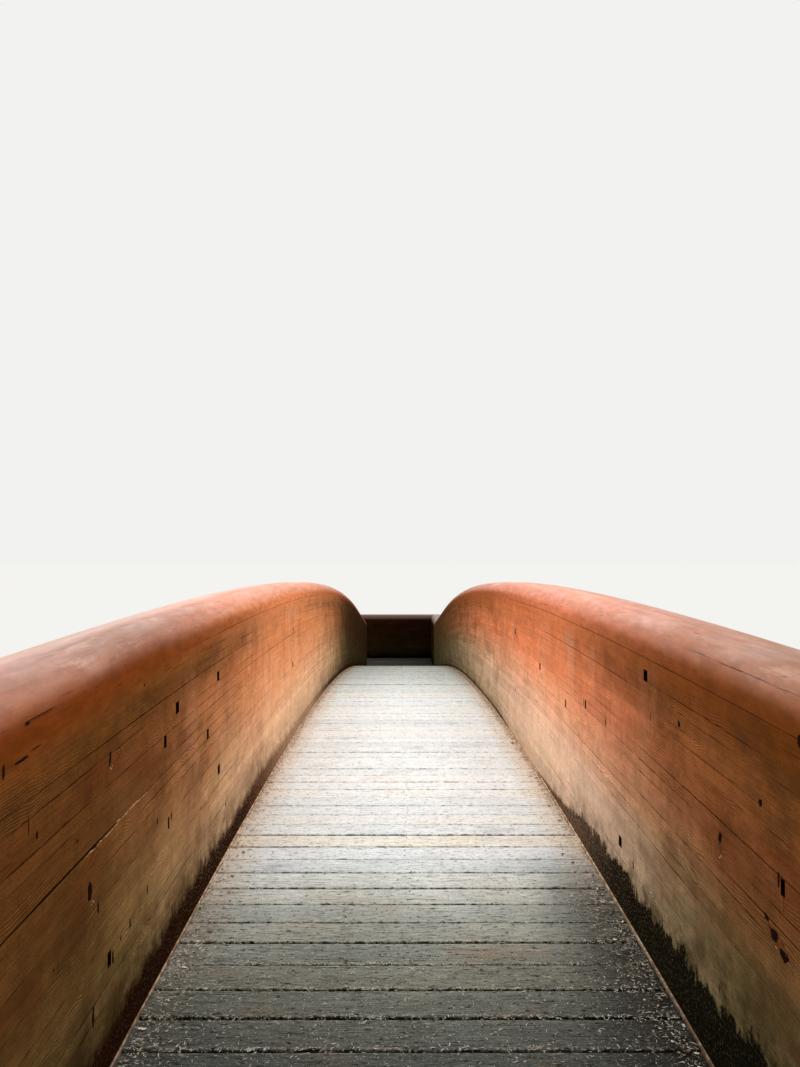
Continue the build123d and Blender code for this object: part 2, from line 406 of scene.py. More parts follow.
# Weathered deck planks. The attribute plank holds one random number for each plank, and edge how near
# a point is to its plank's long edges, up to 1.
def weathered_planks(name):
    s = new_material(name)
    span = s.span
    x, y = s.split(s.position())[:2]
    tone = s.attribute("plank")
    edge = s.attribute("edge")
    shift = tone * 37.0
    s.drift = s.noise(s.vector(x * 1.4, y * 0.9, 0.0))

    def stretched(along, across, detail, roughness=0.6):
        return s.noise(s.vector(x * along + shift, y * across, shift), 1.0, detail, roughness)

    def scattered(per_x, per_y, depth, detail, roughness=0.6):
        return s.noise(s.vector(x * per_x, y * per_y, depth), 1.0, detail, roughness)

    fibre = stretched(9, 190, 5, 0.65)
    streaks = stretched(3, 42, 4)
    # Painted light and shade along the deck, with some real bleaching: lit pale planks over the crest and
    # shaded dark ones towards the ends, tinted by the same mix
    bleach_and_light = s.profile(y, [
        (-16, 0.04), (-6, 0.02), (-2.9, 0), (-2.5, 0.03), (-2.1, 0.075), (-1.75, 0.16), (-1.45, 0.33),
        (-1.15, 0.58), (-0.8, 0.88), (-0.2, 0.93), (0.3, 1), (3.4, 1), (5.4, 0.70), (7.6, 0.52), (9.5, 0.46),
        (12, 0.2), (14.5, 0), (16, 0)], 0.5)
    mixed = tone * 0.50 + scattered(3, 3.6, 1, 5) * 0.50
    shaded_and_damp = s.ramp(mixed, [(0.25, "1f2322"), (0.42, "2e322d"), (0.55, "3b3b34"), (0.70, "504a3d")])
    dry = s.ramp(mixed, [(0.2, "e0ecf0"), (0.4, "effcff"), (0.6, "f6ffff"), (0.8, "f8f9ea")])
    s.colour = s.mix(bleach_and_light, shaded_and_damp, dry)
    s.over(1.0, s.ramp(bleach_and_light, [(0, (0.82, 0.83, 0.88)), (0.05, (1, 0.99, 0.93)), (0.12, (1, 0.97, 0.84)),
                                (0.45, (1, 0.98, 0.88)), (0.85, 1)]), "MULTIPLY")
    worn = (span(fibre, 0.3, 0.7, 0.74, 1.22) * span(streaks, 0.3, 0.7, 0.84, 1.14)
            * span(stretched(26, 120, 3, 0.65), 0.28, 0.72, 0.63, 1.42)
            * span(scattered(190, 130, 4, 3, 0.7), 0.30, 0.70, 0.58, 1.42))
    s.shade(1.0 + (worn - 0.98) * (1.0 - bleach_and_light * 0.60))

    # Warm bare patches, cool blotches and cracks along the grain
    warm = span(scattered(2.2, 6, 3, 5), 0.56, 0.70, 0, 0.45) * span(bleach_and_light, 0, 1, 1, 0.2)
    s.over(warm, s.mix(bleach_and_light, "6b5439", "e8c79a"))
    s.over(span(scattered(3.4, 6, 11, 3), 0.60, 0.72, 0, 0.5) * bleach_and_light, "aeb0bd")
    crack = span(stretched(7, 210, 3), 0.60, 0.68)
    s.over(crack * span(bleach_and_light, 0, 1, 0.85, 0.4), "1f1a15")

    # Frayed pale edges, and dirt in the joints
    fringe = span(edge, 0.78, 0.90) * span(edge, 0.95, 1, 1, 0)
    fringe = fringe * span(scattered(55, 90, 2, 3), 0.50, 0.62, 0, 0.55)
    s.over(fringe, s.mix(bleach_and_light, "a39a86", "fbf6ea"))
    soil = scattered(28, 28, 6, 4, 0.7) - 0.5
    s.over(span(edge + soil * 0.46, 0.955, 1.02, 0, 0.95) * span(bleach_and_light, 0.6, 1, 1, 0.72), "15110c")

    # Painted warm light beside the girders, painted shade there broken up like grime, most on the right, and
    # a painted shadow in the near corner there
    side = abs(x)
    s.over(span(side, half_walk - 0.17, half_walk - 0.02, 0, 0.6) * bleach_and_light, "f0cba2")
    shade_and_grime_beside = span(side, half_walk - 0.22, half_walk - 0.01, 0, 1, smooth=True) * span(x, -0.1, 0.1, 0.5, 1)
    shade_and_grime_beside = shade_and_grime_beside * span(bleach_and_light, 0.3, 0.95, 1, 0.15)
    s.over(shade_and_grime_beside * span(scattered(24, 24, 0, 4, 0.75), 0.36, 0.54), "16120d")
    shaded_corner = span(x, half_walk - 0.36, half_walk - 0.12, 0, 0.60, smooth=True)
    s.over(shaded_corner * span(y, -1.15, -0.65, 1, 0), "17150f")

    # Dark specks and pale chaff
    pepper = s.math("MAXIMUM", span(scattered(38, 80, 5, 3, 0.65), 0.60, 0.63),
                    span(scattered(17, 62, 14, 4, 0.7), 0.615, 0.645))
    s.over(pepper * span(bleach_and_light, 0.3, 1, 0.95, 0.6), "171410")
    chaff = s.math("MAXIMUM", span(scattered(110, 230, 8, 2), 0.62, 0.68),
                   span(scattered(60, 300, 28, 3, 0.7), 0.63, 0.67))
    s.over(chaff * span(bleach_and_light, 0, 0.7, 0.85, 0.2), "bfb49e")

    # Shade on the near slope and at the far end
    s.over(span(y, -2.25, -1.75, 0.24, 0), "14120e")
    s.over(span(y, span_half - 0.9, span_half - 0.1, 0, 0.7), "1b1913")
    return s.finish(span(fibre, 0.3, 0.7, 0.90, 0.68), fibre + streaks * 0.6 - crack, 0.003, 0.6,
                    specular=span(bleach_and_light, 0.4, 1, 0.10, 0.60))


def sawn_timber(name, dark, pale, stretch):
    """Rough sawn framing; stretch sets the grain's direction by scaling the coordinates."""
    s = new_material(name)
    place = s.vector(*[p * k for p, k in zip(s.split(s.position()), stretch)])
    fibre = s.noise(place, 1.0, 5.0, 0.65)
    s.colour = s.ramp(fibre * 0.6 + s.noise(place, 0.12) * 0.4, [(0.3, dark), (0.7, pale)])
    return s.finish(0.82, fibre, 0.003, 0.6, specular=0.3)


def edge_lath(name):
    """The strips along the deck: pale over the crest as painted light, dirty elsewhere, and with painted
    shade along both edges but for a thin broken line.
    """
    s = new_material(name)
    position = s.position()
    x, y = s.split(position)[:2]
    s.drift = s.noise(position, 0.8, 2.0)
    # Painted light: the strip is paler over the crest, as the deck is
    pale = s.profile(y, [(-16, 0.1), (-2.6, 0.2), (-1.3, 0.7), (-0.6, 1), (6.5, 1), (9, 0.5), (16, 0.1)], 0.6)
    dirt = s.noise(position, 26.0, 5.0, 0.8)
    dark = s.mix(pale, "221a14", "a9805a")
    s.colour = s.mix(s.span(dirt, 0.44, 0.53, 0, 0.95), s.mix(pale, "a08b79", "ffe8c8"), dark)
    side = abs(x)
    # Painted shade along both edges of the strip
    shaded_edges = s.math("MAXIMUM", s.span(side, half_walk - 0.0034, half_walk - 0.0024),
                    s.span(side, half_walk - 0.0049, half_walk - 0.0045, 0.8, 0))
    s.over(shaded_edges * s.span(pale, 0.2, 1, 0.9, 0.2), dark)
    return s.finish(0.8, dirt, 0.001, 0.4, specular=0.3)


def weathered_steel(name):
    s = new_material(name)
    position = s.position()
    grit = s.noise(position, 140.0)
    s.colour = s.ramp(s.noise(position, 6.0, 5.0), [
        (0.35, "3a2d26"), (0.5, "57402f"), (0.62, "7a4d2c"), (0.75, "4b3a30")])
    return s.finish(s.span(grit, 0.3, 0.7, 0.5, 0.8), grit, 0.001, 0.5, metallic=0.35)


form_board = 0.14


def cast_concrete(name):
    """Board-marked concrete, with rain stains under its top edges."""
    s = new_material(name)
    position = s.position()
    x, y, z = s.split(position)
    joint = s.span(abs(s.math("FRACT", z * (1 / form_board)) - 0.5), 0.46, 0.5)
    s.colour = s.ramp(s.noise(position, 1.6, 5.0), [(0.3, "8d8a82"), (0.5, "a5a299"), (0.7, "b8b4a8")])
    drip = s.noise(s.vector(x * 9.0, y * 9.0, z * 0.8), 1.0, 4.0)
    s.over(s.span(drip, 0.5, 0.72, 0, 0.55), "5d5a50")
    s.over(joint * 0.35, "6f6c64")
    return s.finish(0.85, s.noise(position, 60.0) * 0.5 - joint * 0.8, 0.004, 0.5, specular=0.3)


def speckled(name, colours, scale, roughness=0.85, specular=0.3):
    """A small material that varies through the listed colours."""
    s = new_material(name)
    cloud = s.noise(s.position(), scale)
    s.colour = s.ramp(cloud, [(0.3 + 0.4 * i / (len(colours) - 1), c) for i, c in enumerate(colours)])
    return s.finish(roughness, cloud, 0.001, 0.4, specular=specular)


# Colours by height in the shaded damp copy and the lit bleached copy. The pale pink crown stops from 1.0 up
# in the damp lists are painted sheen, edge lays a painted highlight on the crown, and scuff is a pale wear
# colour that also paints sheen
left_look = {
    "shaded_and_damp": [
        (-0.47, "56482c"), (0.05, "5a4827"), (0.28, "664c27"), (0.55, "66421d"), (0.75, "693f1b"),
        (0.80, "6b431e"), (0.86, "6d441d"), (0.90, "834e21"), (0.94, "814216"), (0.965, "7f3e17"),
        (0.985, "763b15"), (1, "844726"), (1.012, "93573b"), (1.022, "9a6248"), (1.042, "925e47"),
        (1.05, "9a6f59"), (1.055, "a07567")],
    "lit_and_bleached": [
        (-0.47, "c0a083"), (0.05, "dcbd9c"), (0.25, "f8cba2"), (0.50, "eba87a"), (0.72, "e29563"),
        (0.90, "df9464"), (0.965, "e69060"), (1, "e8956b"), (1.04, "e2906e")],
    "bleach_and_light": [
        (-16, 0.06), (-6, 0.05), (-3.2, 0.02), (-2.3, 0.05), (-1.75, 0.22), (-1.5, 0.37), (-1.1, 0.54),
        (-0.4, 0.74), (0.2, 0.92), (0.8, 1), (3, 0.94), (5, 0.54), (7.5, 0.34), (16, 0.12)],
    "band_light_and_bleach": [
        (-16, 0.04), (-3.2, 0), (-1.8, 0.04), (-1.25, 0.17), (-0.47, 0.40), (0.1, 0.68), (0.84, 0.97),
        (1.5, 0.97), (2.6, 0.80), (5, 0.45), (16, 0.10)],
    "crown_light_and_bleach": [
        (-16, 0.08), (-4, 0.12), (-2.6, 0.12), (-2.35, 0.09), (-2.1, 0.02), (-1.75, 0.05), (-1.25, 0.36),
        (-0.8, 0.68), (-0.4, 0.90), (0.8, 1), (3, 0.92), (5, 0.6), (16, 0.12)],
    "foot": [
        (-16, 0.08), (-4, 0.09), (-2.3, 0.085), (-1.3, 0.095), (-0.8, 0.087), (-0.4, 0.080), (0, 0.088),
        (0.5, 0.082), (1.4, 0.062), (2.8, 0.050), (4.8, 0.032), (9, 0.03), (16, 0.04)],
    "foot_strength": [
        (-16, 1), (0.1, 1), (0.55, 0.82), (1.3, 0.50), (2.6, 0.32), (3.8, 0.6), (4.8, 1), (16, 1)],
    "far": [(-16, 0), (5.2, 0), (6.6, 0.55), (7.8, 0.82), (9.5, 0.88), (16, 0.92)],
    "far_shade_colour": "231c11",
    "mildew": ("170c06", "30190c", "6b4a31", "2e2611", "7d5840"),
    "reach": 0.20,
    "border": (-0.050, 0.014),
    "mottle": (0.39, 0.55),
    "scuff": "dcb8aa",
    "edge": (0.55, "e0bcae"),
}
right_look = {
    "shaded_and_damp": [
        (-0.47, "50472b"), (0.05, "4d462b"), (0.30, "57492b"), (0.40, "5e4a2a"), (0.50, "704b29"),
        (0.67, "7c4b26"), (0.80, "804f26"), (0.86, "7c491f"), (0.90, "7a4313"), (0.94, "733e13"),
        (0.965, "713a14"), (0.985, "76421e"), (1, "8b5432"), (1.015, "8c5638"), (1.04, "905f42"),
        (1.055, "8d5f45")],
    "lit_and_bleached": [
        (-0.47, "c6a88d"), (0.05, "e4c9ae"), (0.30, "ffd9bb"), (0.48, "fcb992"), (0.66, "f7996c"),
        (0.90, "e08556"), (0.965, "e0865e"), (1, "e58d6b"), (1.04, "e28e70")],
    "bleach_and_light": [
        (-16, 0.06), (-6, 0.04), (-3.2, 0.02), (-2.3, 0.11), (-1.9, 0.29), (-1.6, 0.40), (-1.1, 0.78),
        (-0.4, 1), (0.5, 1), (1.3, 0.88), (2.2, 0.72), (3.2, 0.62), (5, 0.46), (7.5, 0.32), (16, 0.12)],
    "band_light_and_bleach": [
        (-16, 0.04), (-3.2, 0), (-2.3, 0.08), (-1.95, 0.16), (-1.54, 0.29), (-0.97, 0.54), (-0.4, 0.85),
        (-0.11, 1), (0.5, 0.95), (1.3, 0.74), (3.2, 0.38), (5, 0.34), (16, 0.10)],
    "crown_light_and_bleach": [
        (-16, 0.06), (-3.2, 0.04), (-2.3, 0.10), (-1.7, 0.33), (-1.1, 0.66), (-0.4, 0.96), (0.8, 1),
        (2.2, 0.84), (5, 0.50), (7.5, 0.32), (16, 0.12)],
    "foot": [
        (-16, 0.14), (-6, 0.2), (-4, 0.25), (-2.5, 0.20), (-1.8, 0.145), (-0.9, 0.135), (-0.6, 0.11),
        (-0.3, 0.055), (0.1, 0.025), (0.6, 0), (1.8, 0), (2.4, 0.026), (8, 0.032), (16, 0.05)],
    "foot_strength": [(-16, 1), (2, 1), (3.2, 0.7), (16, 0.7)],
    "far": [(-16, 0), (4.5, 0), (7, 0.22), (8.8, 0.50), (10.5, 0.64), (12.8, 0.80), (16, 0.88)],
    "far_shade_colour": "37331f",
    "mildew": ("0b0b06", "1b1a10", "4f4a37", "453a22", "715a49"),
    "reach": 0.16,
    "border": (-0.018, 0.007),
    "mottle": (0.44, 0.58),
    "scuff": "cfa68d",
    "edge": (0.35, "96694a"),
    "crown_line": (1, -2.9, -1.7),
}
wall_look = {**left_look, "far": [(-16, 0), (16, 0)]}
left_stain = laminated_timber("stained_glulam_left", left_look)
right_stain = laminated_timber("stained_glulam_right", right_look)
wall_stain = laminated_timber("stained_glulam_landing", wall_look, shadow=0.09)
end_stain = laminated_timber("stained_glulam_ends", wall_look, foot=False, end_grain=True)
plank_finish = weathered_planks("weathered_planks")
bolt_finish = speckled("bolt_steel", ("3b332d", "6a4a31", "4c3b30"), 30.0, 0.6)
nail_finish = speckled("nail_heads", ("2b2622", "4a4038"), 40.0, 0.8, 0.2)
needle_finish = speckled("dry_needles", ("8c826d", "d2cab8", "faf4e6"), 12.0, 0.9, 0.1)
brown_needle_finish = speckled("brown_needles", ("5a3218", "a06838", "d8a470"), 30.0, 0.9, 0.05)
chip_finish = speckled("leaf_chips", ("2b2018", "6b5a46", "c9bfae"), 25.0, 0.9, 0.05)
pale_chip_finish = speckled("pale_chips", ("9a8f7c", "ddd5c4", "fbf7ec"), 18.0, 0.9, 0.05)
splinter_finish = speckled("pale_splinters", ("8a5a38", "c09468", "ecccaa"), 45.0, 0.9, 0.0)
knot_finish = speckled("knots", ("0b0603", "241209", "140905"), 60.0, 0.95, 0.03)
torn_finish = speckled("torn_wood", ("5a3218", "7e4f2b", "3b200f"), 80.0, 0.95, 0.05)

# Finishes on the pieces whose CAD shape stays, by the start of their names
across_timber = sawn_timber("sawn_timber_across", "3d2f20", "7a6244", (3, 60, 60))
along_timber = sawn_timber("sawn_timber_along", "3a2d1f", "755e42", (60, 3, 60))
steel_finish = weathered_steel("weathered_steel")
finishes = {
    "floor_beam": across_timber, "deck_sill": across_timber,
    "stringer": along_timber, "landing_joists": along_timber,
    "deck_edge_strip": edge_lath("edge_lath"),
    "beam_hangers": steel_finish, "bearing_shoes": steel_finish,
    "abutment": cast_concrete("cast_concrete"),
}
for node, (start, finish) in product(nodes, finishes.items()):
    if node.startswith(start):
        materials = nodes[node].data.materials
        materials.clear()
        materials.append(finish)


# Making pieces
def mesh_object(name, vertices, faces, materials, slot, stands_for=None):
    mesh = bpy.data.meshes.new(name)
    mesh.from_pydata(vertices, [], faces)
    for material in materials:
        mesh.materials.append(material)
    made = bpy.data.objects.new(name, mesh)
    bpy.context.scene.collection.objects.link(made)
    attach(made, "root")
    if stands_for:
        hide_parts(stands_for)
    return mesh


def give_attribute(mesh, name, values):
    """Name a value at each vertex, of one number or three."""
    kind, field = ("FLOAT_VECTOR", "vector") if np.ndim(values) > 1 else ("FLOAT", "value")
    mesh.attributes.new(name, kind, "POINT").data.foreach_set(field, np.array(values, np.float32).ravel())


def turn_outward(mesh, sharp=None):
    """Turn the faces outward. With an angle, also drop tiny edges and keep the edges sharp beyond it."""
    work = bmesh.new()
    work.from_mesh(mesh)
    if sharp:
        bmesh.ops.dissolve_degenerate(work, dist=0.00005, edges=work.edges)
    bmesh.ops.recalc_face_normals(work, faces=work.faces)
    if sharp:
        for edge in work.edges:
            edge.smooth = edge.calc_face_angle(0.0) < sharp
    work.to_mesh(mesh)
    work.free()


def merged(parts):
    """Vertices and faces of several parts in one."""
    vertices, faces = [], []
    for some, more in parts:
        start = len(vertices)
        vertices += some
        faces += [tuple(start + v for v in face) for face in more]
    return vertices, faces


def joined(name, parts, finish, slot):
    mesh_object(name, *merged(parts), [finish], slot)


def bands(width, first, second):
    """Faces of the ring between two closed rows of vertices that start at first and second."""
    return [(first + i, first + (i + 1) % width, second + (i + 1) % width, second + i) for i in range(width)]


# Laminated timbers: a cross-section with a groove at each glue line, carried along a route
seam_closed = 0.0004
seam_spread = 0.0030
seam_depth = 0.008
seam_margin = 0.005
crown_steps = 6


def section_rows(foot):
    """Points round the section: across, height, the way in, seam number or None, side, and lip.

    They run from the foot of the inner face over the crown to the foot of the outer face. A seam has
    three points, its bottom and a lip on each side, for which lip is 1 above and -1 below.
    """
    shoulder = parapet_height - crown_round
    seams = [(number, parapet_height - number * lamination)
             for number in range(int((parapet_height - foot) / lamination), 0, -1)]
    seams = [seam for seam in seams if foot + seam_margin <= seam[1] <= shoulder - seam_margin]
    angles = [math.pi / 2 * i / crown_steps for i in range(crown_steps + 1)]
    halves = []
    for foot_across, inward, side in ((0.0, 1, "inner"), (girder_thickness, -1, "outer")):
        half = [(foot_across, foot, inward, 0, None, side, 0)]
        for number, height in seams:
            half += [(foot_across, height, inward, 0, number, side, step) for step in (-1, 0, 1)]
        for angle in angles:
            across = foot_across + inward * crown_round * (1 - math.cos(angle))
            half.append((across, shoulder + crown_round * math.sin(angle),
                         inward * math.cos(angle), -math.sin(angle), None, "crown", 0))
        halves.append(half)
    middle = (girder_thickness / 2, parapet_height, 0, -1, None, "crown", 0)
    return [*halves[0], middle, *reversed(halves[1])]


def seam_opening(seed, number, side, along, strong):
    """How far a seam has opened at a place along it, as a share of seam_spread."""
    for strong_number, start, end, share in strong:
        if strong_number == number and side == "inner":
            fade = smooth_step(start - 0.1, start + 0.15, along)
            fade *= 1 - smooth_step(end - 0.3, end + 0.1, along)
            if fade > 0:
                return share * fade * (0.75 + 0.5 * noise.noise(Vector((along * 3.0, number, seed))))
    sample = noise.noise(Vector((along * 0.45, number * 5.3 + seed, seed * 3.1)))
    fine = noise.noise(Vector((along * 2.6, number * 2.1, seed)))
    return 0.30 * smooth_step(0.34, 0.60, sample + 0.25 * fine)


def laminated_piece(name, node, stain, stations, foot, place, seed, slots=(), strong=()):
    """One laminated timber. place(along, across, height) gives a point of it."""
    ends = [end for _, start, length, *_ in slots for end in (start, start + length)]
    cuts = sorted({round(along, 4) for along in [*stations, *ends]})
    width = len(cuts)
    rows = section_rows(foot)
    points = []
    for (across, height, in_x, in_y, number, side, lip), along in product(rows, cuts):
        opening = seam_opening(seed, number, side, along, strong) if number else 0.0
        course = 0.002 * noise.noise(Vector((along * 1.1, number * 3.7, seed))) if number else 0.0
        at_height = height + course + lip * (seam_closed + seam_spread * opening)
        depth = 0.0 if lip else seam_depth * opening
        points.append((place(along, across + in_x * depth, at_height + in_y * depth),
                       (along + seed * 31.0, at_height, across), 0.0 if lip else min(1.0, 2 * opening)))

    # Each slot leaves out the faces between two seams, and a pocket closes it
    seam_row = {(row[4], row[5]): i for i, row in enumerate(rows) if row[4] and not row[6]}
    skipped, pockets = set(), []
    for number, start, length, depth, side in slots:
        low, high = seam_row[number + 1, side], seam_row[number, side]
        first, last = (low + 1, high - 1) if side == "inner" else (high + 1, low - 1)
        left, right = cuts.index(round(start, 4)), cuts.index(round(start + length, 4))
        skipped.update(product(range(first, last), range(left, right)))
        corners = [(first, left), (first, right), (last, right), (last, left)]
        inward = depth if side == "inner" else -depth
        brim = len(points)
        front = [points[r * width + c] for r, c in corners]
        points += [(point, spot, 1.0) for point, spot, _ in front]
        points += [(place(cuts[c], rows[r][0] + inward, rows[r][1]), spot, 1.0)
                   for (r, c), (_, spot, _) in zip(corners, front)]
        pockets += [tuple(range(brim + 4, brim + 8)), *bands(4, brim, brim + 4)]
    faces = []
    for r, c in product(range(len(rows)), range(width - 1)):
        if (r, c) not in skipped:
            here, after = r * width + c, (r + 1) % len(rows) * width + c
            faces.append((here, here + 1, after + 1, after))
    smooth_count = len(faces)
    faces += pockets
    for column in (0, width - 1):
        start = len(points)
        points += points[column:len(rows) * width:width]
        cap = range(start, len(points))
        faces.append(tuple(cap if column else reversed(cap)))
    vertices, spots, seams = zip(*points)
    mesh = mesh_object(name, vertices, faces, [stain, end_stain], "glulam_timber", node)
    give_attribute(mesh, "place", spots)
    give_attribute(mesh, "seam", seams)
    mesh.polygons.foreach_set("material_index", [int(i >= len(faces) - 2) for i in range(len(faces))])
    mesh.polygons.foreach_set("use_smooth", [i < smooth_count for i in range(len(faces))])
    turn_outward(mesh, math.radians(20))


def evenly(start, end, step):
    count = max(1, round((end - start) / step))
    return [start + (end - start) * i / count for i in range(count + 1)]


def girder_place(sign):
    def place(along, across, height):
        return sign * (half_walk + across), along, max(level(height, along), bearing_level)
    return place


girder_foot = parapet_height - girder_depth
slot_length = 0.042
slot_depth = 0.035


def slot(number, start, length=slot_length, depth=slot_depth, side="inner"):
    """An empty slot one lamination high, under the numbered seam."""
    return number, start, length, depth, side


left_slots = [
    slot(7, -0.93), slot(7, -1.57), slot(9, -1.71, 0.03), slot(12, -1.11, 0.032), slot(17, -0.91),
    slot(14, 1.52), slot(14, -2.36, 0.036), slot(20, -2.22, 0.026), slot(16, -1.66, 0.018, 0.015),
    slot(8, -6.4, side="outer"), slot(15, 2.3, side="outer"), slot(10, 7.7, side="outer"),
]
right_slots = [
    slot(4, -1.63), slot(11, 0.46), slot(21, -1.3), slot(11, -2.61, 0.02, 0.012), slot(8, 1.49, 0.036),
    slot(13, -0.28, 0.022, 0.012), slot(11, -0.72, 0.026, 0.02),
    slot(9, -3.8, side="outer"), slot(12, 1.4, side="outer"), slot(7, 8.9, side="outer"),
]

# Seams that stand open on the inner faces: the seam, from, to, and how far
left_seams = [(12, -3.9, -1.95, 1.5), (13, -1.9, -0.4, 0.5), (6, -2.7, -0.6, 0.5), (3, -1.0, 3.4, 0.35),
              (9, -0.6, 1.9, 0.32)]
right_seams = [(3, -3.6, 2.0, 0.38), (6, -1.6, 0.5, 0.45), (5, -2.5, -1.6, 0.45), (11, -3.2, -1.4, 0.42),
               (14, -3.8, -2.2, 0.6), (24, -0.6, 0.6, 0.4)]

for side, sign, stain, seed, slots, strong in (
        ("left", -1, left_stain, 1, left_slots, left_seams),
        ("right", 1, right_stain, 2, right_slots, right_seams)):
    laminated_piece(f"girder_{side}_timber", f"girder_{side}", stain, evenly(-span_half, span_half, 0.2),
                    girder_foot, girder_place(sign), seed, slots, strong)

# Landing walls: the same section upright on the abutment, mitred at the closed corner
wall_base = wall_top - parapet_height
wall_length = 2 * half_walk + girder_thickness


def side_wall_place(end):
    def place(along, across, height):
        share = (along - span_half) / landing_length
        return half_walk + across, end * (along + across * share), wall_base + height
    return place


def end_wall_place(end):
    def place(along, across, height):
        share = (along + half_walk + girder_thickness) / wall_length
        return along + across * share, end * (landing_end + across), wall_base + height
    return place


for number, (label, end) in enumerate((("near", -1), ("far", 1))):
    for kind, start, finish, place, seed in (
            ("side", span_half, landing_end, side_wall_place(end), 3),
            ("end", -half_walk - girder_thickness, half_walk, end_wall_place(end), 5)):
        laminated_piece(f"{kind}_wall_{label}_timber", f"landing_{kind}_wall_{label}", wall_stain,
                        evenly(start, finish, 0.25), wall_foot - wall_base, place, seed + number)


# Planks
plank_count = 209
plank_gap = (0.001, 0.012)
plank_steps = 40
deck_length = 2 * (arch_radius * slope + (span_half - arc_half) / math.cos(slope))
plank_pitch = deck_length / plank_count
plank_end = half_walk - strip_width - 0.001


def plank_mesh(rng, low_x, high_x, frame_at, tight):
    """Vertices, faces and nearness to the edge of a worn plank. frame_at(v, n) gives y and z of a point."""
    half = (plank_pitch - rng.uniform(*plank_gap) * tight) / 2
    skew = rng.uniform(-0.0024, 0.0024)
    ease = 0.003 + 0.003 * rng.random()
    cup = (rng.random() - 0.5) * 0.003
    lift = (rng.random() - 0.5) * 0.002
    near_side = [(-half, -plank_thickness), (-half, -ease), (-half + ease * 0.35, -ease * 0.35),
                 (-half + ease, 0.0), (-half * 0.45, 0.0)]
    profile = [*near_side, (0.0, 0.0), *[(-v, n) for v, n in reversed(near_side)]]
    start = low_x + rng.random() * 0.004
    finish = high_x - rng.random() * 0.004
    phase = rng.random() * 50
    vertices, edges = [], []
    for i in range(plank_steps + 1):
        x = start + (finish - start) * i / plank_steps
        wave = noise.noise(Vector((x * 2.0, phase, 0.0)))
        for v, n in profile:
            top = n > -plank_thickness / 2
            side = phase + math.copysign(9, v)
            edge = (0.0030 * noise.noise(Vector((x * 4.0, side, 1.0)))
                    + 0.0022 * noise.noise(Vector((x * 19.0, side, 2.0))))
            edge *= smooth_step(half * 0.5, half * 0.9, abs(v))
            height = n - 0.002 + (cup * (v / half) ** 2 + lift + 0.0012 * wave if top else 0.002)
            moved = v + math.copysign(edge, v) - 0.0015 * (v / half) + skew * x
            vertices.append((x, *frame_at(moved, min(height, 0.0))))
            edges.append(abs(v) / half)
    width = len(profile)
    faces = [face for i in range(plank_steps) for face in bands(width, i * width, (i + 1) * width)]
    faces += [tuple(range(width)), tuple(reversed(range(plank_steps * width, len(vertices))))]
    return vertices, faces, edges


def plank_piece(name, node, planks):
    """Join planks into one piece. planks holds (seed, low x, high x, frame function, share of the gaps)."""
    parts, tones, edges = [], [], []
    for seed, *form in planks:
        rng = random.Random(seed)
        tone = rng.random()
        vertices, faces, near = plank_mesh(rng, *form)
        parts.append((vertices, faces))
        tones += [tone] * len(vertices)
        edges += near
    mesh = mesh_object(name, *merged(parts), [plank_finish], "deck_timber", node)
    give_attribute(mesh, "plank", tones)
    give_attribute(mesh, "edge", edges)
    turn_outward(mesh)


def deck_frame(distance):
    y, z, lean = along_deck(distance)

    def frame_at(v, n):
        return y + v * math.cos(lean) + n * math.sin(lean), z - v * math.sin(lean) + n * math.cos(lean)
    return frame_at


def landing_frame(middle):
    def frame_at(v, n):
        return middle + v, landing_level + n
    return frame_at


middles = [(i + 0.5 - plank_count / 2) * plank_pitch for i in range(plank_count)]
bays = [[] for _ in range(bay_count)]
for i, distance in enumerate(middles):
    y = along_deck(distance)[0]
    bay = min(bay_count - 1, int((y + span_half) / (2 * span_half) * bay_count))
    tight = 1.0 - 0.62 * smooth_step(-0.9, 0.3, y) * (1 - smooth_step(5.0, 8.0, y))
    bays[bay].append((1000 + i, -plank_end, plank_end, deck_frame(distance), tight))
for bay, planks in enumerate(bays, 1):
    plank_piece(f"planks_bay_{bay}", f"deck_bay_{bay}", planks)

landing_planks = 12
landing_pitch = landing_length / landing_planks
for label, end in (("near", -1), ("far", 1)):
    plank_piece(f"planks_landing_{label}", f"landing_floor_{label}", [
        (2000 + i + 50 * end, -half_walk - girder_thickness, half_walk - 0.003,
         landing_frame(end * (span_half + (i + 0.5) * landing_pitch)), 1.0) for i in range(landing_planks)])


# Knots, torn places and splinters on the girders
mark_sides = 14
mark_rim = 0.0003
mark_depth = 0.002


def mark(sign, across, outward, y, height, long, tall, rng, swell=0.0012):
    """An irregular dark place on a girder's face, let into it and hardly proud of it."""
    up, forward = directions_at(y)
    middle = Vector((sign * (half_walk + across), y, level(height, y)))
    out_of_face = Vector((sign * outward, 0, 0))
    front, back = [], []
    for i in range(mark_sides):
        turn = 2 * math.pi * i / mark_sides
        reach = rng.uniform(0.6, 1.2)
        spot = middle + forward * (long / 2 * reach * math.cos(turn))
        spot += up * (tall / 2 * reach * math.sin(turn))
        front.append(spot + out_of_face * mark_rim)
        back.append(spot - out_of_face * mark_depth)
    faces = [tuple(range(mark_sides, 2 * mark_sides)), *bands(mark_sides, 0, mark_sides)]
    faces += [(i, 2 * mark_sides, (i + 1) % mark_sides) for i in range(mark_sides)]
    return [*front, *back, middle + out_of_face * swell], faces


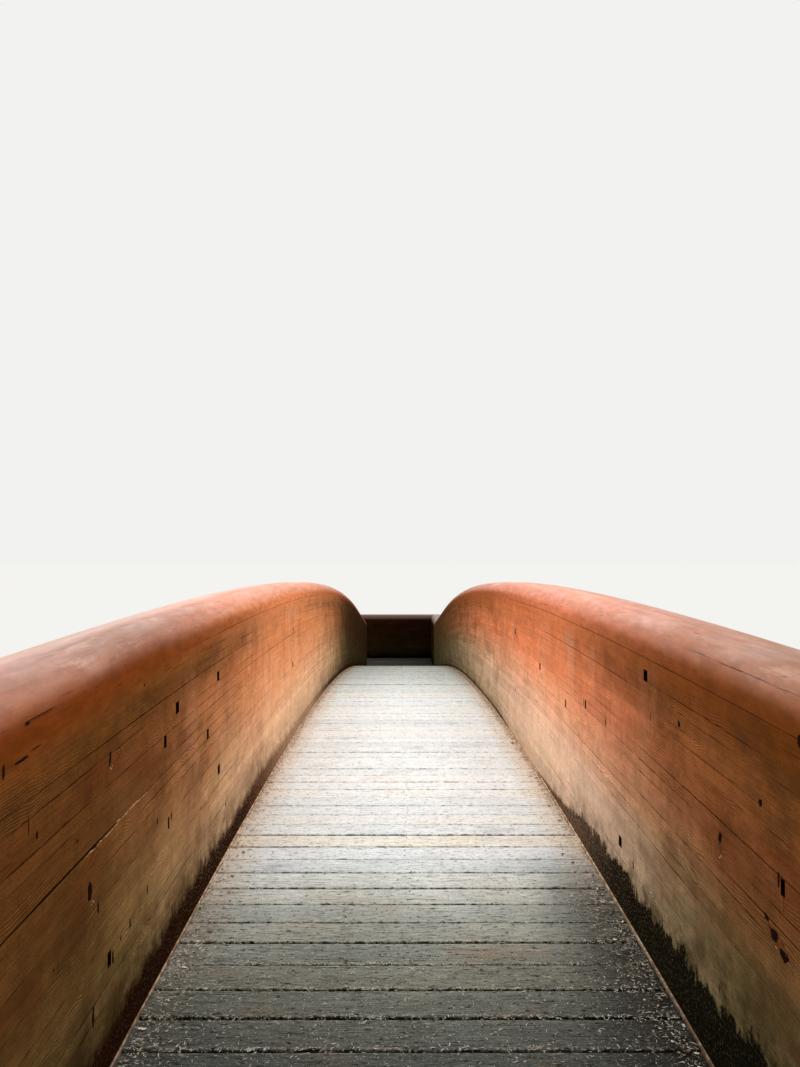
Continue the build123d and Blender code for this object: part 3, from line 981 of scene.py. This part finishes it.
# Y, height over the walking surface, length along the grain and height of each mark that stands out
left_marks = [
    (-2.21, 0.775, 0.020, 0.040), (-2.344, 0.504, 0.026, 0.052), (-2.29, 0.440, 0.014, 0.024),
    (-1.88, 0.313, 0.012, 0.034), (-2.04, 0.286, 0.014, 0.032), (-2.12, 0.285, 0.009, 0.014),
    (-2.18, 0.264, 0.014, 0.040), (-2.32, 0.192, 0.018, 0.058), (-1.78, 0.474, 0.011, 0.022),
    (-1.62, 0.438, 0.016, 0.026), (-2.72, 0.914, 0.070, 0.007), (-2.66, 0.921, 0.060, 0.0025),
    (-2.80, 0.913, 0.010, 0.030), (-2.69, 0.776, 0.004, 0.040), (-2.65, 0.743, 0.014, 0.020),
    (-1.92, 0.910, 0.012, 0.012), (-2.62, 0.982, 0.150, 0.0010), (-2.695, 0.978, 0.016, 0.004),
    (-0.75, 0.207, 0.014, 0.022), (-2.56, 0.428, 0.007, 0.007), (1.67, 0.081, 0.03, 0.020),
    (3.17, 0.361, 0.030, 0.030), (1.57, 0.737, 0.018, 0.024), (-2.43, 0.65, 0.010, 0.010),
    (-0.2, 0.66, 0.012, 0.016), (-2.31, 0.598, 0.050, 0.013),
]
right_marks = [
    (1.51, 0.337, 0.018, 0.036), (-0.67, 0.618, 0.008, 0.036), (-1.07, 0.619, 0.016, 0.034),
    (-1.45, 0.218, 0.016, 0.034), (-1.94, 0.803, 0.022, 0.022), (-1.66, 0.764, 0.005, 0.034),
    (-2.25, 0.592, 0.026, 0.040), (-2.58, 0.624, 0.010, 0.034), (-2.49, 0.757, 0.026, 0.018),
    (-0.26, 0.535, 0.012, 0.030), (-0.57, 0.460, 0.008, 0.030), (-2.56, 0.500, 0.060, 0.030),
    (-2.60, 0.478, 0.050, 0.026), (-2.52, 0.520, 0.030, 0.016), (-2.68, 0.941, 0.02, 0.03),
    (0.62, 0.40, 0.012, 0.020), (2.3, 0.61, 0.016, 0.030),
]
torn_wood = [(-1, (-2.205, 0.772, 0.034, 0.056)), (-1, (-2.33, 0.497, 0.026, 0.066)),
             (1, (-2.25, 0.572, 0.020, 0.066)), (1, (-2.575, 0.495, 0.110, 0.040))]
rng = random.Random(5)
knots = [mark(-1, 0.0, -1, *spot, rng) for spot in left_marks]
knots += [mark(1, 0.0, -1, *spot, rng) for spot in right_marks]

# And small ones at random, on the inner faces beyond the crest and along the outer faces
for sign, (across, outward, count, start) in product(
        (-1, 1), ((0.0, -1, 70, 3.0), (girder_thickness, 1, 60, -14.0))):
    for _ in range(count):
        y = rng.uniform(start, 14.0)
        spot = (y, rng.uniform(0.1, 0.93), rng.uniform(0.008, 0.026), rng.uniform(0.012, 0.036))
        knots.append(mark(sign, across, outward, *spot, rng))
joined("knots", knots, knot_finish, "glulam_timber")
joined("torn_wood", [mark(sign, 0.0, -1, *spot, rng, 0.0006) for sign, spot in torn_wood], torn_finish,
       "glulam_timber")

# Pale splinters along the open crack in the left girder and on the edges of the torn places
crack_start = -2.36
crack_length = 0.46
crack_height = 0.5978
crack_splinters = 30
splinters = []
rng = random.Random(43)
for i in range(crack_splinters):
    y = crack_start + crack_length * i / (crack_splinters - 1) + rng.uniform(-0.01, 0.01)
    drop = rng.uniform(0.003, 0.006) if y < -2.15 else rng.uniform(-0.001, 0.003)
    spot = (y, crack_height - drop, rng.uniform(0.01, 0.04), rng.uniform(0.0008, 0.0022))
    splinters.append(mark(-1, 0.0, -1, *spot, rng))
for sign, (y, height, long, tall) in torn_wood:
    for _ in range(3):
        spot = (y + rng.uniform(-0.4, 0.4) * long, height - rng.uniform(0.3, 0.5) * tall,
                rng.uniform(0.004, 0.012), rng.uniform(0.0015, 0.004))
        splinters.append(mark(sign, 0.0, -1, *spot, rng, 0.001))
joined("pale_splinters", splinters, splinter_finish, "glulam_timber")


# Small round parts
def disc(centre, axis, radius, length, sides=12, dome=0.0):
    """Vertices and faces of a short cylinder that stands on centre and points along axis."""
    axis = Vector(axis).normalized()
    first = axis.orthogonal().normalized()
    second = axis.cross(first)
    vertices = []
    for reach, size in ((0.0, 1.0), (length * (1 - dome), 1.0), (length, 1.0 - dome)):
        for i in range(sides):
            turn = 2 * math.pi * i / sides
            vertices.append(Vector(centre) + axis * reach
                            + (first * math.cos(turn) + second * math.sin(turn)) * radius * size)
    ends = [tuple(reversed(range(sides))), tuple(range(2 * sides, 3 * sides))]
    return vertices, [*bands(sides, 0, sides), *bands(sides, sides, 2 * sides), *ends]


# Nails: two in each plank over every stringer
stringer_half = 0.0445
stringer_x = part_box("stringer_right")[0].x + stringer_half
nail_offset = 0.038
nails = []
rng = random.Random(11)
for distance, x, v in product(middles, (-stringer_x, 0.0, stringer_x), (-nail_offset, nail_offset)):
    spot, up, forward = on_deck(distance, x + rng.uniform(-0.012, 0.012))
    spot += forward * (v + rng.uniform(-0.008, 0.008))
    nails.append(disc(spot - up * 0.006, up, 0.0032, 0.0045, 8))
joined("plank_nails", nails, nail_finish, "steelwork")


# Dry needles on the planks, thickest by the girders and along the joints, thinnest over the crest
def lying(rng, distance, x, low, high):
    """A point of the deck, up there, and a random heading between two turns with the way to its side."""
    spot, up, _ = on_deck(distance, x)
    heading = Matrix.Rotation(rng.uniform(low, high), 3, up) @ Vector((1, 0, 0))
    return spot, up, heading, up.cross(heading)


def needle(rng, distance, x, spread=math.pi, drawn_out=1.0):
    """A bent sliver with pointed ends, six faces, turned up to spread away from the planks' direction."""
    spot, up, heading, side = lying(rng, distance, x, -spread, spread)
    length = rng.uniform(0.005, 0.019) * drawn_out
    thick = rng.uniform(0.0007, 0.0013)
    middle = spot + up * (thick * 0.7 + rng.uniform(0, 0.002))
    bow = side * rng.uniform(-0.22, 0.22) * length
    lift = [up * rng.uniform(-0.0004, 0.0022) for _ in range(2)]
    vertices = [middle - heading * length / 2 + lift[0], middle + heading * length / 2 + lift[1],
                middle + bow + side * thick, middle + bow - side * thick, middle + bow + up * thick]
    return vertices, [(0, 3, 2), (0, 4, 3), (0, 2, 4), (1, 2, 3), (1, 3, 4), (1, 4, 2)]


needle_count = 31000
brown_needle_count = 7000
pale_needle_count = 1150
reach = plank_end - 0.012
rng = random.Random(23)
needles = []
while len(needles) < needle_count:
    distance = rng.uniform(-0.49, 0.49) * deck_length
    cover = 1.0 - 0.85 * smooth_step(-1.7, -0.2, distance) * (1 - 0.3 * smooth_step(4.0, 9.0, distance))
    cover *= 1.0 - 0.80 * (1 - smooth_step(-5.0, -3.0, distance))
    if rng.random() > cover:
        continue
    x = rng.uniform(-reach, reach)
    kind = rng.random()
    if kind < 0.16:
        x = math.copysign(reach - abs(rng.gauss(0, 0.07)), x)
    elif kind < 0.60:
        joint = round((distance + deck_length / 2) / plank_pitch) * plank_pitch - deck_length / 2
        distance = joint + rng.gauss(0, 0.008)
    if abs(x) <= reach:
        needles.append(needle(rng, distance, x))
joined("dry_needles", needles, needle_finish, "deck_timber")
rng = random.Random(61)
needles = []
while len(needles) < brown_needle_count:
    x = math.copysign(reach + 0.010 - abs(rng.gauss(0, 0.022)), rng.uniform(-1, 1))
    distance = -2.2 + 11.2 * rng.random() ** 1.15
    if rng.random() < smooth_step(-2.2, 0.3, distance) ** 2:
        needles.append(needle(rng, distance, x, 0.9))
joined("brown_needles", needles, brown_needle_finish, "deck_timber")
rng = random.Random(67)
needles = []
for _ in range(pale_needle_count):
    x = math.copysign(reach + 0.006 - abs(rng.gauss(0, 0.085)), rng.uniform(-1.9, 1))
    needles.append(needle(rng, rng.uniform(-3.5, -0.7), x, math.pi, 1.35))
joined("pale_needles", needles, pale_chip_finish, "deck_timber")

chip_thickness = 0.0008
chip_sides = 7
chip_count = 2600
near_chip_count = 260
pale_chip_count = 400


def chip(rng, distance, x):
    """A curled scrap of leaf or bark, thin but closed."""
    spot, up, heading, side = lying(rng, distance, x, 0, 2 * math.pi)
    long = rng.uniform(0.0015, 0.005) if rng.random() < 0.93 else rng.uniform(0.007, 0.013)
    wide = long * rng.uniform(0.35, 0.7)
    curl = rng.uniform(0.0005, 0.0030)
    middle = spot + up * 0.0008
    top = []
    for i in range(chip_sides):
        turn = 2 * math.pi * i / chip_sides
        reach_out = rng.uniform(0.7, 1.15)
        point = middle + heading * (long * reach_out * math.cos(turn))
        point += side * (wide * reach_out * math.sin(turn))
        top.append(point + up * (curl * abs(math.cos(turn)) + 0.0006))
    faces = [tuple(range(chip_sides)), tuple(reversed(range(chip_sides, 2 * chip_sides)))]
    faces += [tuple(reversed(face)) for face in bands(chip_sides, 0, chip_sides)]
    return top + [point - up * chip_thickness for point in top], faces


rng = random.Random(37)
chips = []
for _ in range(chip_count):
    distance = rng.uniform(-0.49, 0.49) * deck_length
    chips.append(chip(rng, distance, math.copysign(reach - abs(rng.gauss(0, 0.05)), rng.uniform(-1, 1))))
for _ in range(near_chip_count):
    side = rng.uniform(-1, 2)
    chips.append(chip(rng, rng.uniform(-3.4, -0.9), math.copysign(reach - abs(rng.gauss(0, 0.045)), side)))
joined("leaf_chips", chips, chip_finish, "deck_timber")
chips = []
for _ in range(pale_chip_count):
    side = 1 if rng.random() < 0.6 else -1
    chips.append(chip(rng, rng.uniform(-3.6, 0.2), side * (reach - abs(rng.gauss(0, 0.045)))))
joined("pale_chips", chips, pale_chip_finish, "deck_timber")


# Bolts through each beam hanger to a round washer and nut on the girder's outer face, and through the shoes
washer_thickness = 0.005
nut_height = 0.013


def nut_and_washer(spot, sign, washer_radius):
    """A washer, a hexagonal nut and the bolt's end, stacked across the bridge from spot."""
    axis = Vector((sign, 0, 0))
    nut = spot + axis * washer_thickness
    return [disc(spot, axis, washer_radius, washer_thickness, 20, 0.06),
            disc(nut, axis, 0.0165, nut_height, 6, 0.08),
            disc(nut + axis * nut_height, axis, 0.0095, 0.012, 10, 0.15)]


bolts = []
beam_spacing = 2 * span_half / bay_count
beam_places = [-span_half + i * beam_spacing for i in range(1, bay_count)]
hanger_plate = 0.008
hanger_bolt = 0.108
hanger_rows = (-0.22, -0.40)
for y, sign, v, n in product(beam_places, (-1, 1), (-hanger_bolt, hanger_bolt), hanger_rows):
    up, forward = directions_at(y)
    spot = Vector((0, y, level(0, y))) + forward * v + up * n
    inner = Vector((sign * (half_walk - hanger_plate), spot.y, spot.z))
    outer = Vector((sign * (half_walk + girder_thickness), spot.y, spot.z))
    bolts.append(disc(inner, (-sign, 0, 0), 0.016, 0.004, 16))
    bolts.append(disc(inner - Vector((sign * 0.004, 0, 0)), (-sign, 0, 0), 0.012, 0.011, 6, 0.12))
    bolts += nut_and_washer(outer, sign, 0.038)
shoe_plate = 0.012
shoe_insets = (0.08, 0.225, 0.37)
shoe_bolt_height = 0.1
for end, inset, sign, (across, outward) in product(
        (-1, 1), shoe_insets, (-1, 1), ((-shoe_plate, -1), (girder_thickness + shoe_plate, 1))):
    spot = Vector((sign * (half_walk + across), end * (span_half - inset), bearing_level + shoe_bolt_height))
    bolts += nut_and_washer(spot, sign * outward, 0.024)
joined("bolts", bolts, bolt_finish, "steelwork")

# Floor, light and camera
floor_mesh = bpy.data.meshes.new("studio_floor")
reach = 220.0
floor_mesh.from_pydata([(-reach, -reach, 0), (reach, -reach, 0), (reach, reach, 0), (-reach, reach, 0)],
                       [], [(0, 1, 2, 3)])
floor = bpy.data.objects.new("studio_floor", floor_mesh)
bpy.context.scene.collection.objects.link(floor)
floor_finish = new_material("studio_floor")
floor_finish.colour = "cfcfcd"
floor_mesh.materials.append(floor_finish.finish(0.9, specular=0.0))

# An even world, shown as a pale background
world = bpy.context.scene.world or bpy.data.worlds.new("studio")
bpy.context.scene.world = world
sky = Shader(world)
path = sky.add("LightPath").outputs
camera_ray, transmission_ray, glossy_ray = [Value(sky, path[f"Is {kind} Ray"])
                                            for kind in ("Camera", "Transmission", "Glossy")]
seen = sky.math("MAXIMUM", sky.math("MAXIMUM", camera_ray, transmission_ray), glossy_ray)
ambient = sky.value("Background", (1.0, 0.99, 0.97), 0.86)
sky.add("OutputWorld", sky.value("MixShader", seen, ambient, sky.value("Background", "f2f2f0", 1.0)))

# Broad soft suns from both sides, high enough to reach the deck between the girders, and one from ahead
for name, direction, strength, softness in (
        ("sun_left", (-4.6, 0, 7), 0.97, 40),
        ("sun_right", (4.6, 0, 7), 0.97, 40),
        ("sun_ahead", (0, 10, 6), 0.42, 45)):
    light = bpy.data.lights.new(name, "SUN")
    light.energy = strength
    light.angle = math.radians(softness)
    lamp = bpy.data.objects.new(name, light)
    lamp.location = direction
    lamp.rotation_euler = (Vector() - Vector(direction)).to_track_quat("-Z", "Y").to_euler()
    bpy.context.scene.collection.objects.link(lamp)

# The photograph's view: a phone held over the near slope, level to a degree, looking along the bridge
frame_height_px = 1067
focal_px = 863
horizon_px = 550
sensor = 36.0
camera_data = bpy.data.cameras.new("camera")
camera_data.sensor_fit = "VERTICAL"
camera_data.sensor_height = sensor
camera_data.lens = focal_px / frame_height_px * sensor
camera_data.clip_end = 500
camera = bpy.data.objects.new("camera", camera_data)
camera.location = (-0.033, -4.4, level(0, 0) + 1.272)
pitch = math.atan((horizon_px - frame_height_px / 2) / focal_px)
turn = math.atan(1.0 / focal_px)
camera.rotation_euler = (math.pi / 2 + pitch, 0, -turn)
bpy.context.scene.collection.objects.link(camera)
bpy.context.scene.camera = camera

bpy.context.scene.view_settings.view_transform = "Standard"
